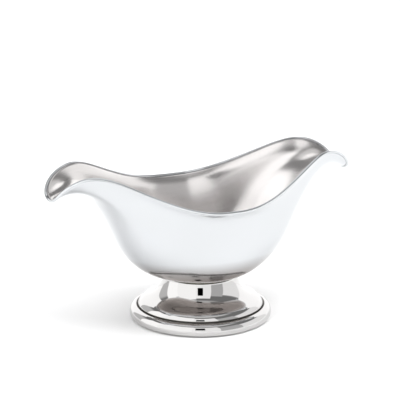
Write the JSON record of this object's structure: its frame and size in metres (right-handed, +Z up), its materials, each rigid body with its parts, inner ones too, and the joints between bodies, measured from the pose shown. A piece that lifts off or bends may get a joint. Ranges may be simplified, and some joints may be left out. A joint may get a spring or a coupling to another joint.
{
  "type": "gravy boat",
  "caption": "Footed metal gravy boat with an oval bowl and a flared, drooping pouring lip at each end.",
  "frame": {"origin": "on the table, under the centre of the foot", "axes": "+Z up, +X along the length from lip to lip, +Y across"},
  "size_m": [0.2206, 0.1096, 0.1132],
  "materials": {
    "bowl_steel": "mirror polished outside, satin brushed inside",
    "rim_steel": "mirror polished",
    "foot_steel": "mirror polished",
    "bead_steel": "mirror polished",
    "braze": "dull silver braze"
  },
  "bodies": {
    "root": {"bowl_body": "bowl_steel", "rim_wire": "rim_steel", "foot_spinning": "foot_steel", "foot_bead": "bead_steel", "braze_seam": "braze"}
  },
  "joints": []
}
